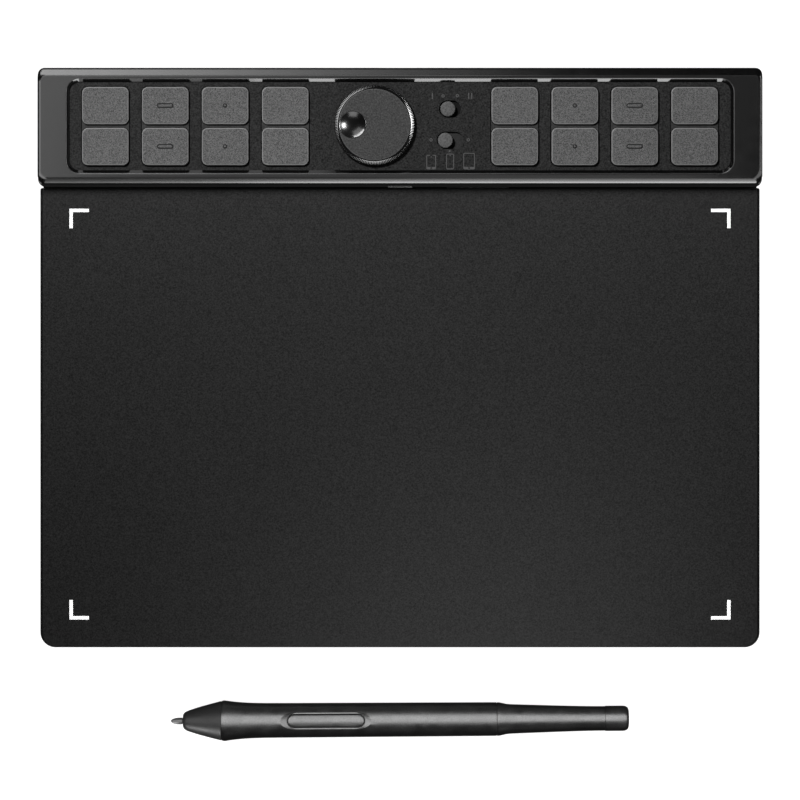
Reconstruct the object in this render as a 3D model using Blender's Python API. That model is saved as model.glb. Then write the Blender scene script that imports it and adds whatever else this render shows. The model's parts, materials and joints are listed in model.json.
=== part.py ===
"""Pen drawing tablet with a raised control head, and its pen lying in front of it.

Metres, +Z up.  +X runs along the head to the right, +Y from the user to the head.
Origin: centre of the footprint of tablet and pen together, on the desk.
"""
import math

import bmesh
import bpy
from mathutils import Matrix, Vector

for _o in list(bpy.data.objects):
    bpy.data.objects.remove(_o)

MM = 0.001

# ---------------------------------------------------------------- driving sizes, mm
HEAD_HALF_W = 139.05          # control head, half its width
HEAD_BACK = 129.26
HEAD_FOOT = 83.5              # foot of the head's front, against the pad
PAD_HALF_W = 138.2
PAD_BACK = 83.15
PAD_FRONT = -93.3
PAD_CORNER = 5.8

BASE_BOTTOM = 0.8
FLOOR_TOP = 2.2
BASE_WALL_TOP = 4.0
COVER_BOTTOM = 4.3
WALL = 1.8

PAD_COVER_CEILING = 5.4
PAD_COVER_TOP = 6.9
SHEET_BOTTOM, SHEET_TOP = 7.2, 7.5

HEAD_TOP = 11.8
HEAD_CEILING = 10.4
PANEL_BOTTOM, PANEL_TOP = 8.9, 10.1
RECESS_OUT = (-128.05, 88.62, 128.05, 124.93)    # rim of the sloped recess wall
RECESS_IN = (-126.85, 89.8, 126.85, 123.55)       # its foot, round the panel
RECESS_OUT_R, RECESS_IN_R = 5.2, 4.0

KEY_W, KEY_H, KEY_R = 17.95, 14.4, 2.3
KEY_COLS = (44.0, 67.05, 90.0, 112.97)           # distance of each column from the middle
KEY_ROWS = {"upper": 114.62, "lower": 98.93}
KEY_TOP = 12.1
KEY_BOTTOM = 8.0
KEY_FLANGE = 0.4
KEY_GAP = 0.35                                   # round each pair in its well

DIAL_X, DIAL_Y, DIAL_R = -9.78, 107.2, 15.5
DIAL_FACE_R = 13.7
DISH_OFFSET, DISH_R = 8.35, 5.0

SWITCH_KNOB_R = 3.0
SLOT_HALF_H = 3.33
MODE_X, MODE_Y, MODE_SLOT = 18.33, 113.4, (14.95, 23.33)      # two positions
DEVICE_X, DEVICE_Y, DEVICE_SLOT = 17.37, 101.37, (14.05, 24.3)  # three positions

USB_X = 0.0
USB_Z = 6.95
BAY_HALF_W, BAY_Z0, BAY_Z1 = 6.5, 4.9, 9.1
BAY_CORNER = 0.2
BAY_FLOOR = 125.7

PAD_SCREWS = ((-132.0, 76.0), (132.0, 76.0), (-132.0, -86.0), (132.0, -86.0))
HEAD_SCREWS = ((-133.6, 106.0), (133.6, 106.0))

FEET = {
    "foot_rear_left": (-112.0, 117.0),
    "foot_rear_right": (112.0, 117.0),
    "foot_front_left": (-112.0, -80.0),
    "foot_front_right": (112.0, -80.0),
}
FOOT_L, FOOT_W, FOOT_R = 34.0, 9.0, 4.4

# the pen, along its own axis from the nib's tip
PEN_COLLAR_S, PEN_COLLAR_R = 20.4, 7.8
PEN_REAR_S, PEN_REAR_R = 125.0, 6.45
PEN_COLLAR_AT = (-67.6, -121.46)
PEN_YAW = math.radians(0.31)
PEN_BORE = 4.6
BUTTON_MID, BUTTON_HALF_L, BUTTON_HALF_W = 59.55, 14.9, 2.6


# ---------------------------------------------------------------- materials
def material(name, colour, roughness, metallic=0.0):
    m = bpy.data.materials.new(name)
    m.use_nodes = True
    b = m.node_tree.nodes["Principled BSDF"]
    b.inputs["Base Color"].default_value = (*colour, 1)
    b.inputs["Roughness"].default_value = roughness
    b.inputs["Metallic"].default_value = metallic
    return m


M = {
    "gloss_black": material("gloss_black", (0.018, 0.018, 0.019), 0.22),
    "piano_black": material("piano_black", (0.006, 0.006, 0.006), 0.05),
    "panel_black": material("panel_black", (0.024, 0.024, 0.025), 0.6),
    "pad_black": material("pad_black", (0.026, 0.026, 0.027), 0.7),
    "base_black": material("base_black", (0.02, 0.02, 0.021), 0.65),
    "key_grey": material("key_grey", (0.12, 0.12, 0.122), 0.6),
    "dial_grey": material("dial_grey", (0.062, 0.062, 0.064), 0.55),
    "dark_metal": material("dark_metal", (0.25, 0.25, 0.26), 0.25, 1.0),
    "steel": material("steel", (0.55, 0.55, 0.56), 0.35, 1.0),
    "pcb_green": material("pcb_green", (0.012, 0.09, 0.04), 0.45),
    "silicone": material("silicone", (0.25, 0.25, 0.25), 0.8),
    "chip_black": material("chip_black", (0.01, 0.01, 0.01), 0.4),
    "rubber": material("rubber", (0.015, 0.015, 0.015), 0.85),
    "white_plastic": material("white_plastic", (0.6, 0.6, 0.58), 0.5),
    "light_lens": material("light_lens", (0.2, 0.2, 0.21), 0.3),
    "pen_black": material("pen_black", (0.03, 0.03, 0.031), 0.42),
    "nib_black": material("nib_black", (0.02, 0.02, 0.02), 0.5),
    "copper": material("copper", (0.6, 0.27, 0.14), 0.35, 1.0),
}


# ---------------------------------------------------------------- geometry helpers
def rrect(x0, y0, x1, y1, radii, n):
    """Rounded rectangle, counter-clockwise from the lower right corner, n segments a corner.
    radii is one number or four: lower right, upper right, upper left, lower left."""
    if not hasattr(radii, "__len__"):
        radii = (radii,) * 4
    corners = ((x1, y0, -90), (x1, y1, 0), (x0, y1, 90), (x0, y0, 180))
    signs = ((-1, 1), (-1, -1), (1, -1), (1, 1))
    pts = []
    for (x, y, a0), (sx, sy), r in zip(corners, signs, radii):
        cx, cy = x + sx * r, y + sy * r
        for i in range(n + 1):
            a = math.radians(a0 + 90 * i / n)
            pts.append((cx + r * math.cos(a), cy + r * math.sin(a)))
    return pts


def circle(cx, cy, r, n, turn=0.0):
    return [
        (cx + r * math.cos(turn + 2 * math.pi * i / n), cy + r * math.sin(turn + 2 * math.pi * i / n))
        for i in range(n)
    ]


def stadium(x0, x1, cy, r, n):
    """Slot outline along X with round ends, counter-clockwise."""
    pts = [(x1 - r + r * math.cos(math.radians(-90 + 180 * i / n)), cy + r * math.sin(math.radians(-90 + 180 * i / n))) for i in range(n + 1)]
    pts += [(x0 + r + r * math.cos(math.radians(90 + 180 * i / n)), cy + r * math.sin(math.radians(90 + 180 * i / n))) for i in range(n + 1)]
    return pts


def new_object(name, bm, mat, at=(0, 0, 0), parent=None):
    """Turns the bmesh, in mm and in place, into an object whose origin is at `at` (mm)."""
    bmesh.ops.remove_doubles(bm, verts=bm.verts, dist=1e-5)
    bmesh.ops.recalc_face_normals(bm, faces=bm.faces)
    if bm.calc_volume(signed=True) < 0:
        bmesh.ops.reverse_faces(bm, faces=bm.faces)
    bmesh.ops.transform(bm, matrix=Matrix.Scale(MM, 4) @ Matrix.Translation(-Vector(at)), verts=bm.verts)
    mesh = bpy.data.meshes.new(name)
    bm.to_mesh(mesh)
    bm.free()
    mesh.materials.append(M[mat])
    obj = bpy.data.objects.new(name, mesh)
    bpy.context.scene.collection.objects.link(obj)
    obj.location = Vector(at) * MM
    if parent is not None:
        obj.parent = parent
    return obj


def loft_bm(loops):
    """Closed solid through loops of equal count; the first and last loop are capped."""
    bm = bmesh.new()
    rings = [[bm.verts.new(p) for p in loop] for loop in loops]
    n = len(rings[0])
    for a, b in zip(rings, rings[1:]):
        for i in range(n):
            j = (i + 1) % n
            bm.faces.new((a[i], a[j], b[j], b[i]))
    bm.faces.new(rings[0][::-1])
    bm.faces.new(rings[-1])
    return bm


def stack(name, layers, mat, at=(0, 0, 0), parent=None):
    """Solid from (outline, z) layers."""
    return new_object(name, loft_bm([[(x, y, z) for x, y in o] for o, z in layers]), mat, at, parent)


def box(name, x0, y0, z0, x1, y1, z1, mat, at=(0, 0, 0), parent=None):
    o = [(x0, y0), (x1, y0), (x1, y1), (x0, y1)]
    return stack(name, [(o, z0), (o, z1)], mat, at, parent)


def turned_bm(profile, n, closed=False, along="z", centre=(0, 0, 0), turn=0.0):
    """Solid of revolution. profile is (radius, distance along the axis); an open profile starts and ends at radius 0."""
    bm = bmesh.new()

    def place(r, h, a):
        c, s = r * math.cos(a), r * math.sin(a)
        p = (c, s, h) if along == "z" else (h, c, s)
        return (p[0] + centre[0], p[1] + centre[1], p[2] + centre[2])

    rings = []
    for r, h in profile:
        if r < 1e-9:
            rings.append([bm.verts.new(place(0, h, 0))])
        else:
            rings.append([bm.verts.new(place(r, h, turn + 2 * math.pi * i / n)) for i in range(n)])
    pairs = list(zip(rings, rings[1:]))
    if closed:
        pairs.append((rings[-1], rings[0]))
    for a, b in pairs:
        for i in range(n):
            j = (i + 1) % n
            if len(a) == 1 and len(b) == 1:
                break
            if len(a) == 1:
                bm.faces.new((a[0], b[i], b[j]))
            elif len(b) == 1:
                bm.faces.new((a[i], a[j], b[0]))
            else:
                bm.faces.new((a[i], a[j], b[j], b[i]))
    return bm


def turned(name, profile, n, mat, closed=False, along="z", centre=(0, 0, 0), at=None, parent=None, turn=0.0):
    bm = turned_bm(profile, n, closed, along, centre, turn)
    obj = new_object(name, bm, mat, centre if at is None else at, parent)
    obj.data.shade_smooth()
    obj.data.set_sharp_from_angle(angle=math.radians(35))
    return obj


def helper(obj):
    obj.hide_render = True
    obj.display_type = "WIRE"
    return obj


def boolean(obj, other, operation):
    helper(other)
    mod = obj.modifiers.new(f"{operation.lower()}_{other.name}"[:60], "BOOLEAN")
    mod.operation = operation
    mod.object = other
    mod.solver = "EXACT"
    return obj


_count = [0]


def cut(obj, layers):
    _count[0] += 1
    return boolean(obj, stack(f"cutter_{_count[0]:03d}", layers, "rubber"), "DIFFERENCE")


def add(obj, layers):
    _count[0] += 1
    return boolean(obj, stack(f"added_{_count[0]:03d}", layers, "rubber"), "UNION")


def cut_box(obj, x0, y0, z0, x1, y1, z1):
    o = [(x0, y0), (x1, y0), (x1, y1), (x0, y1)]
    return cut(obj, [(o, z0), (o, z1)])


def add_box(obj, x0, y0, z0, x1, y1, z1):
    o = [(x0, y0), (x1, y0), (x1, y1), (x0, y1)]
    return add(obj, [(o, z0), (o, z1)])


def cut_round(obj, x, y, r, z0, z1, n=12):
    return cut(obj, [(circle(x, y, r, n), z0), (circle(x, y, r, n), z1)])


def add_round(obj, x, y, r, z0, z1, n=12):
    return add(obj, [(circle(x, y, r, n), z0), (circle(x, y, r, n), z1)])


def empty(name, at, parent=None):
    e = bpy.data.objects.new(name, None)
    bpy.context.scene.collection.objects.link(e)
    e.location = Vector(at) * MM
    if parent is not None:
        e.parent = parent
    return e


# ---------------------------------------------------------------- base cover
def base_outline(inset):
    """Footprint of the base: under head and pad, with a small nick at each side where they meet."""
    w = PAD_HALF_W - inset
    back, front = HEAD_BACK - 0.85 - inset, PAD_FRONT + inset
    pts = []
    for cx, cy, r, a0, n in (
        (w - (PAD_CORNER - inset), front + PAD_CORNER - inset, PAD_CORNER - inset, -90, 5),
    ):
        pts += [(cx + r * math.cos(math.radians(a0 + 90 * i / n)), cy + r * math.sin(math.radians(a0 + 90 * i / n))) for i in range(n + 1)]
    pts += [(w, PAD_BACK - 0.05), (w - 1.1, PAD_BACK + 0.3), (w, PAD_BACK + 2.5)]
    r = max(2.4 - inset, 0.6)
    pts += [(w - r + r * math.cos(math.radians(30 * i)), back - r + r * math.sin(math.radians(30 * i))) for i in range(4)]
    return pts + [(-x, y) for x, y in reversed(pts)]


base = stack(
    "base_cover",
    [
        (base_outline(1.8), FLOOR_TOP),
        (base_outline(1.8), BASE_WALL_TOP),
        (base_outline(0.0), BASE_WALL_TOP),
        (base_outline(0.0), BASE_BOTTOM + 1.0),
        (base_outline(0.9), BASE_BOTTOM),
    ],
    "base_black",
)
for x in (-84.0, 0.0, 84.0):
    add_box(base, x - 0.7, -76.0, FLOOR_TOP - 0.5, x + 0.7, 68.0, 3.3)
for y in (94.0, 118.0):
    add_box(base, -120.0, y - 0.7, FLOOR_TOP - 0.5, 120.0, y + 0.7, 3.9)
for x, y in PAD_SCREWS + HEAD_SCREWS:
    add_round(base, x, y, 3.8, FLOOR_TOP - 0.5, 3.4, 12)
    cut_round(base, x, y, 2.6, BASE_BOTTOM - 1, 2.3, 12)
    cut_round(base, x, y, 1.35, 1.0, 5.0, 10)
for x, y in FEET.values():
    cut(base, [(stadium(x - FOOT_L / 2 - 0.3, x + FOOT_L / 2 + 0.3, y, FOOT_R + 0.3, 6), z) for z in (BASE_BOTTOM - 1, 1.3)])

for name, (x, y) in FEET.items():
    outer = stadium(x - FOOT_L / 2, x + FOOT_L / 2, y, FOOT_R, 6)
    inner = stadium(x - FOOT_L / 2 + 0.25, x + FOOT_L / 2 - 0.25, y, FOOT_R - 0.25, 6)
    stack(name, [(inner, 0.0), (outer, 0.25), (outer, 1.0)], "rubber", (x, y, 0))


def screw(name, x, y, tip):
    o = turned(name, [(0, 0.95), (2.0, 0.95), (2.2, 1.2), (2.2, 1.95), (1.0, 1.95), (1.0, tip - 0.6), (0, tip)], 12, "steel", centre=(x, y, 0))
    for a, b in ((1.2, 0.28), (0.28, 1.2)):
        cut_box(o, x - a, y - b, 0.5, x + a, y + b, 1.45)
    return o


for i, (x, y) in enumerate(PAD_SCREWS, 1):
    screw(f"pad_screw_{i}", x, y, 6.0)
for i, (x, y) in enumerate(HEAD_SCREWS, 1):
    screw(f"head_screw_{i}", x, y, 8.6)


# ---------------------------------------------------------------- pad
def pad_outline(inset, n=5):
    r = PAD_CORNER - inset
    return rrect(-PAD_HALF_W + inset, PAD_FRONT + inset, PAD_HALF_W - inset, PAD_BACK - inset, (r, 0.8, 0.8, r), n)


pad = stack(
    "pad_top_cover",
    [
        (pad_outline(WALL), PAD_COVER_CEILING),
        (pad_outline(WALL), COVER_BOTTOM),
        (pad_outline(0), COVER_BOTTOM),
        (pad_outline(0), PAD_COVER_TOP - 0.4),
        (pad_outline(0.4), PAD_COVER_TOP),
    ],
    "pad_black",
)
for x, y in PAD_SCREWS:
    add_round(pad, x, y, 2.5, 3.7, PAD_COVER_CEILING + 0.5, 12)
    cut_round(pad, x, y, 1.35, 3.0, 6.35, 10)

stack("drawing_sheet", [(pad_outline(0.25), SHEET_BOTTOM), (pad_outline(0.25), SHEET_TOP - 0.1), (pad_outline(0.35), SHEET_TOP)], "pad_black")

sensor = box("sensor_board", -134.4, -89.4, 4.2, 134.4, 79.4, 5.1, "pcb_green")
for x, y in PAD_SCREWS:
    cut_round(sensor, x, y, 2.9, 3.5, 6.0, 12)
box("shield_plate", -128.0, -80.0, 3.6, 128.0, 72.0, 3.9, "steel")

# ---------------------------------------------------------------- control head
profile = [
    (HEAD_BACK, COVER_BOTTOM), (HEAD_BACK, 9.6), (125.95, HEAD_TOP), (87.0, HEAD_TOP),
    (86.3, 11.6), (84.95, 10.45), (84.75, 9.6), (84.7, 8.3), (84.35, 7.95), (HEAD_FOOT, 7.75), (HEAD_FOOT, COVER_BOTTOM),
]
bm = loft_bm([[(x, y, z) for y, z in profile] for x in (-HEAD_HALF_W, HEAD_HALF_W)])
head = new_object("head_cover", bm, "gloss_black")
# plan outline with rounded corners, and ends whose upper edge is bevelled
_count[0] += 1
plan = rrect(-HEAD_HALF_W, HEAD_FOOT, HEAD_HALF_W, HEAD_BACK, (2.6, 2.0, 2.0, 2.6), 4)
boolean(head, stack(f"cutter_{_count[0]:03d}", [(plan, 0), (plan, 20)], "rubber"), "INTERSECT")
_count[0] += 1
ends = [(-HEAD_HALF_W - 1, 0), (HEAD_HALF_W + 1, 0), (HEAD_HALF_W + 1, 10.6), (HEAD_HALF_W, 10.6), (HEAD_HALF_W - 0.35, 11.45), (HEAD_HALF_W - 1.15, HEAD_TOP + 0.01),
        (HEAD_HALF_W - 1.15, 20), (-HEAD_HALF_W + 1.15, 20), (-HEAD_HALF_W + 1.15, HEAD_TOP + 0.01), (-HEAD_HALF_W + 0.35, 11.45), (-HEAD_HALF_W, 10.6), (-HEAD_HALF_W - 1, 10.6)]
bm = loft_bm([[(x, y, z) for x, z in ends] for y in (70.0, 140.0)])
boolean(head, new_object(f"cutter_{_count[0]:03d}", bm, "rubber"), "INTERSECT")
cavity = rrect(-HEAD_HALF_W + WALL, 86.6, HEAD_HALF_W - WALL, HEAD_BACK - 1.86, 0.8, 2)
cut(head, [(cavity, 0), (cavity, HEAD_CEILING)])


def recess(outline, radius, grow=0.0):
    x0, y0, x1, y1 = outline
    return rrect(x0 - grow, y0 - grow, x1 + grow, y1 + grow, radius + grow, 5)


cut(head, [
    (recess(RECESS_IN, RECESS_IN_R), HEAD_CEILING - 2), (recess(RECESS_IN, RECESS_IN_R), HEAD_CEILING),
    (recess(RECESS_OUT, RECESS_OUT_R), HEAD_TOP), (recess(RECESS_OUT, RECESS_OUT_R, 1.0), HEAD_TOP + 1.0),
])
for x, y in HEAD_SCREWS:
    add_round(head, x, y, 2.5, 3.7, HEAD_CEILING + 0.5, 12)
    cut_round(head, x, y, 1.35, 3.0, 9.4, 10)
# light window at the foot of the front, and the opening of the socket's bay at the back
cut_box(head, -4.95, HEAD_FOOT - 1, 7.0, 4.95, 84.5, 9.0)
_count[0] += 1
hole = rrect(USB_X - BAY_HALF_W, BAY_Z0, USB_X + BAY_HALF_W, BAY_Z1, BAY_CORNER, 3)
bm = loft_bm([[(x, y, z) for x, z in hole] for y in (126.5, 131.0)])
boolean(head, new_object(f"cutter_{_count[0]:03d}", bm, "rubber"), "DIFFERENCE")

box("status_light_lens", -4.6, HEAD_FOOT - 0.12, 7.3, 4.6, 84.1, 8.05, "light_lens")

# ---------------------------------------------------------------- socket and its bay
port = rrect(USB_X - BAY_HALF_W - 0.7, BAY_Z0 - 0.55, USB_X + BAY_HALF_W + 0.7, BAY_Z1 + 0.75, 1.6, 3)
inner = rrect(USB_X - BAY_HALF_W, BAY_Z0, USB_X + BAY_HALF_W, BAY_Z1, BAY_CORNER, 3)
shell_hole = rrect(USB_X - 4.8, USB_Z - 1.95, USB_X + 4.8, USB_Z + 1.95, 1.9, 3)
bay = new_object(
    "usb_port_bezel",
    loft_bm([
        [(x, BAY_FLOOR, z) for x, z in inner],
        [(x, 127.1, z) for x, z in inner],
        [(x, 127.1, z) for x, z in port],
        [(x, BAY_FLOOR - 0.8, z) for x, z in port],
    ]),
    "base_black",
)
_count[0] += 1
bm = loft_bm([[(x, y, z) for x, z in shell_hole] for y in (123.0, 127.5)])
boolean(bay, new_object(f"cutter_{_count[0]:03d}", bm, "rubber"), "DIFFERENCE")


def usb_ring(dx, dz, r):
    return rrect(USB_X - dx, USB_Z - dz, USB_X + dx, USB_Z + dz, r, 4)


MOUTH = BAY_FLOOR + 0.3
socket = new_object(
    "usb_c_socket",
    loft_bm([
        [(x, MOUTH - 6.2, z) for x, z in usb_ring(4.17, 1.29, 1.25)],
        [(x, MOUTH, z) for x, z in usb_ring(4.17, 1.29, 1.25)],
        [(x, MOUTH, z) for x, z in usb_ring(4.47, 1.6, 1.56)],
        [(x, MOUTH - 7.3, z) for x, z in usb_ring(4.47, 1.6, 1.56)],
    ]),
    "steel",
)
add_box(socket, USB_X - 3.35, MOUTH - 6.8, USB_Z - 0.35, USB_X + 3.35, MOUTH - 1.0, USB_Z + 0.35)

# ---------------------------------------------------------------- boards
board = box("control_board", -128.0, 88.0, 4.2, 128.0, 124.4, 5.0, "pcb_green")
ribbon_o = [(74.0, 3.4), (93.0, 3.4), (93.0, 3.8), (89.0, 3.8), (88.6, 3.65), (78.4, 3.65), (78.0, 3.8), (74.0, 3.8)]
new_object("board_ribbon", loft_bm([[(x, y, z) for y, z in ribbon_o] for x in (18.0, 42.0)]), "white_plastic")
chip = box("controller_chip", -14.5, 89.8, 5.3, -5.5, 98.8, 6.3, "chip_black")
cut_round(chip, -13.3, 97.6, 0.5, 6.1, 7.0, 8)


# ---------------------------------------------------------------- panel with its wells
panel = stack("control_panel", [(rrect(-130.2, 87.8, 130.2, 124.6, 4.0, 3), z) for z in (PANEL_BOTTOM, PANEL_TOP)], "panel_black")
pair_y0 = KEY_ROWS["lower"] - KEY_H / 2 - KEY_GAP
pair_y1 = KEY_ROWS["upper"] + KEY_H / 2 + KEY_GAP
for side in (-1, 1):
    for c in KEY_COLS:
        w = KEY_W / 2 + KEY_GAP
        well = rrect(side * c - w, pair_y0, side * c + w, pair_y1, KEY_R + KEY_GAP, 3)
        cut(panel, [(well, PANEL_BOTTOM - 1), (well, PANEL_TOP + 1)])
for (x0, x1), y in ((MODE_SLOT, MODE_Y), (DEVICE_SLOT, DEVICE_Y)):
    slot = stadium(x0, x1, y, SLOT_HALF_H, 8)
    cut(panel, [(slot, PANEL_BOTTOM - 1), (slot, PANEL_TOP + 1)])
cut_round(panel, DIAL_X, DIAL_Y, 4.1, PANEL_BOTTOM - 1, PANEL_TOP + 1, 20)


# ---------------------------------------------------------------- key guides and mats
def web_outline(cx):
    """The strip between the two keys of a pair, flared into the gaps at their round corners."""
    w = KEY_W / 2 + KEY_GAP - 0.3
    half_gap = (KEY_ROWS["upper"] - KEY_ROWS["lower"] - KEY_H) / 2
    mid = (KEY_ROWS["upper"] + KEY_ROWS["lower"]) / 2
    ax, ay, r = KEY_W / 2 - KEY_R, half_gap + KEY_R, KEY_R + 0.3
    first = math.acos((w - ax) / r)
    arc = [first + (math.pi / 2 - first) * i / 3 for i in range(4)]
    quarter = [(ax + r * math.cos(a), ay - r * math.sin(a)) for a in arc]
    upper = quarter + [(-x, y) for x, y in reversed(quarter)]
    pts = upper + [(x, -y) for x, y in reversed(upper)]
    return [(cx + x, mid + y) for x, y in pts]


for side, label in ((-1, "left"), (1, "right")):
    x0, x1 = sorted((side * (KEY_COLS[0] - 11.6), side * (KEY_COLS[-1] + 11.6)))
    guide = box(f"key_guide_{label}", x0, 89.0, 7.4, x1, 123.4, 8.6, "key_grey")
    for c in KEY_COLS:
        cx = side * c
        w = KEY_W / 2 + KEY_FLANGE + 0.35
        gap = (KEY_ROWS["upper"] - KEY_ROWS["lower"] - KEY_H) / 2 - 0.3
        mid = (KEY_ROWS["upper"] + KEY_ROWS["lower"]) / 2
        cut_box(guide, cx - w, mid + gap, 6, cx + w, KEY_ROWS["upper"] + KEY_H / 2 + KEY_FLANGE + 0.35, 10)
        cut_box(guide, cx - w, KEY_ROWS["lower"] - KEY_H / 2 - KEY_FLANGE - 0.35, 6, cx + w, mid - gap, 10)
        # the web stands on the strip that is left between the two openings
        web = web_outline(cx)
        add(guide, [(web, 8.95), (web, 9.75)])
        add_box(guide, cx - 6.0, mid - gap, 8.2, cx + 6.0, mid + gap, 9.2)
    mat = box(f"key_mat_{label}", x0 + 0.5, 89.4, 5.3, x1 - 0.5, 123.0, 5.9, "silicone")
    for c in KEY_COLS:
        for y in KEY_ROWS.values():
            add(mat, [(circle(side * c, y, 3.4, 8), 5.6), (circle(side * c, y, 1.8, 8), 7.05)])


# ---------------------------------------------------------------- keys
def key(name, cx, cy, outer, mark):
    """A hollow cap with a retaining flange on three sides and a plunger. outer is +1 when the key's outer edge looks to +Y."""
    w, h = KEY_W / 2, KEY_H / 2
    f = KEY_FLANGE
    ylo, yhi = (cy - h, cy + h + f) if outer > 0 else (cy - h - f, cy + h)
    n = 2
    body = rrect(cx - w, cy - h, cx + w, cy + h, KEY_R, n)
    top = rrect(cx - w + 0.35, cy - h + 0.35, cx + w - 0.35, cy + h - 0.35, KEY_R - 0.35, n)
    flange = rrect(cx - w - f, ylo, cx + w + f, yhi, KEY_R, n)
    inside = rrect(cx - w + 1.2, cy - h + 1.2, cx + w - 1.2, cy + h - 1.2, KEY_R - 1.2, n)
    post = rrect(cx - 1.5, cy - 1.5, cx + 1.5, cy + 1.5, 0.8, n)
    layers = [
        (post, KEY_BOTTOM), (post, 10.6), (inside, 10.6), (inside, KEY_BOTTOM), (flange, KEY_BOTTOM),
        (flange, 8.6), (body, 8.6), (body, KEY_TOP - 0.35), (top, KEY_TOP),
    ]
    if mark == "bar":
        layers += [(stadium(cx - 3.1, cx + 3.1, cy, 0.55, 5), KEY_TOP), (stadium(cx - 2.95, cx + 2.95, cy, 0.4, 5), KEY_TOP + 0.25)]
    elif mark == "dot":
        layers += [(circle(cx, cy, r, 12, math.radians(-75)), z) for r, z in ((0.68, KEY_TOP), (0.42, KEY_TOP + 0.25))]
    return stack(name, layers, "key_grey", (cx, cy, KEY_TOP))


for side, label in ((-1, "left"), (1, "right")):
    for i, c in enumerate(KEY_COLS, 1):
        mark = {2: "dot", 3: "bar"}.get(i)
        for row, y in KEY_ROWS.items():
            key(f"key_{label}_{i}_{row}", side * c, y, 1 if row == "upper" else -1, mark)


# ---------------------------------------------------------------- dial and encoder
encoder = box("encoder_body", DIAL_X - 6.5, DIAL_Y - 6.5, 5.3, DIAL_X + 6.5, DIAL_Y + 6.5, 8.4, "chip_black")
add_round(encoder, DIAL_X, DIAL_Y, 3.7, 8.0, 10.3, 16)
cut_round(encoder, DIAL_X, DIAL_Y, 2.6, 6.2, 11.0, 12)
dial_axis = empty("dial_axis", (DIAL_X, DIAL_Y, 0))


def dial_part(name, profile, n, mat, closed=False):
    bm = turned_bm(profile, n, closed)
    obj = new_object(name, bm, mat, (0, 0, 0), dial_axis)
    obj.data.shade_smooth()
    obj.data.set_sharp_from_angle(angle=math.radians(35))
    return obj


dial_part("encoder_shaft", [(0, 6.6), (2.25, 6.6), (2.25, 12.4), (0, 12.4)], 12, "steel")
cap = dial_part(
    "dial_cap",
    [(0, 12.75), (2.6, 12.75), (2.6, 10.7), (5.2, 10.7), (5.2, 11.1), (DIAL_FACE_R - 0.1, 11.1), (DIAL_FACE_R, 11.3), (DIAL_FACE_R, 14.0), (DIAL_FACE_R - 0.25, 14.2), (0, 14.2)],
    36, "dial_grey",
)
_count[0] += 1
pocket = [(DISH_R + 0.25, 11.6), (DISH_R + 0.25, 15.0)]
pc = stack(f"cutter_{_count[0]:03d}", [(circle(-DISH_OFFSET, 0, r, 24), z) for r, z in pocket], "rubber", (0, 0, 0), dial_axis)
boolean(cap, pc, "DIFFERENCE")
dial_part(
    "dial_rim",
    [(DIAL_FACE_R + 0.3, 10.9), (DIAL_R - 0.3, 10.9), (DIAL_R, 11.2), (DIAL_R, 12.5), (DIAL_R - 0.15, 12.8), (DIAL_FACE_R + 0.45, 14.0), (DIAL_FACE_R + 0.3, 13.9)],
    40, "dark_metal", closed=True,
)
dish_depth, mouth = 1.9, DISH_R - 0.15
ball = (mouth**2 + dish_depth**2) / (2 * dish_depth)
dish_profile = [(0, 11.9), (DISH_R - 0.3, 11.9), (DISH_R, 12.2), (DISH_R, 14.2), (mouth, 14.3)]
for i in range(1, 6):
    a = math.asin(mouth / ball) * (1 - i / 5)
    dish_profile.append((ball * math.sin(a), 14.3 + ball - dish_depth - ball * math.cos(a)))
bm = turned_bm(dish_profile, 24, centre=(-DISH_OFFSET, 0, 0))
dish = new_object("dial_finger_dish", bm, "piano_black", (0, 0, 0), dial_axis)
dish.data.shade_smooth()
dish.data.set_sharp_from_angle(angle=math.radians(35))


# ---------------------------------------------------------------- slide switches
def slide_switch(name, x, y, half_l, slot, travel):
    """A round button on a flange that always covers the slot, with a post in the switch on the board."""
    o = stack(
        f"{name}_slider",
        [(rrect(x - half_l, y - 4.0, x + half_l, y + 4.0, 1.0, 4), 8.0), (rrect(x - half_l, y - 4.0, x + half_l, y + 4.0, 1.0, 4), 8.6)],
        "key_grey", (x, y, 8.6),
    )
    add(o, [(circle(x, y, SWITCH_KNOB_R, 20), 8.3), (circle(x, y, SWITCH_KNOB_R, 20), 11.45), (circle(x, y, SWITCH_KNOB_R - 0.25, 20), 11.7)])
    add_box(o, x - 0.9, y - 0.9, 6.3, x + 0.9, y + 0.9, 8.2)
    b = box(f"{name}_switch_body", x + travel / 2 - 5.2, y - 2.6, 5.3, x + travel / 2 + 5.2, y + 2.6, 7.3, "steel")
    cut_box(b, x - 1.3, y - 1.3, 5.9, x + travel + 1.3, y + 1.3, 8)
    return o


slide_switch("mode", MODE_X, MODE_Y, 5.6, MODE_SLOT, 1.6)
slide_switch("device", DEVICE_X, DEVICE_Y, 7.4, DEVICE_SLOT, 3.4)

# ---------------------------------------------------------------- pen
# It lies on its collar and on the rear rim of its barrel, so its axis falls a little towards the tail.
tilt = math.asin((PEN_COLLAR_R - PEN_REAR_R) / (PEN_REAR_S - PEN_COLLAR_S))
pen = empty("pen_axis", (PEN_COLLAR_AT[0], PEN_COLLAR_AT[1], PEN_COLLAR_R * math.cos(tilt)))
pen.rotation_euler = (Matrix.Rotation(PEN_YAW, 3, "Z") @ Matrix.Rotation(tilt, 3, "Y")).to_euler()
PEN_N = 20


def along(s):
    return s - PEN_COLLAR_S


def pen_turned(name, profile, mat, closed=True, n=PEN_N):
    bm = turned_bm([(r, along(s)) for r, s in profile], n, closed, "x", turn=math.pi / 2)
    obj = new_object(name, bm, mat, (0, 0, 0), pen)
    obj.data.shade_smooth()
    obj.data.set_sharp_from_angle(angle=math.radians(25))
    return obj


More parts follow.
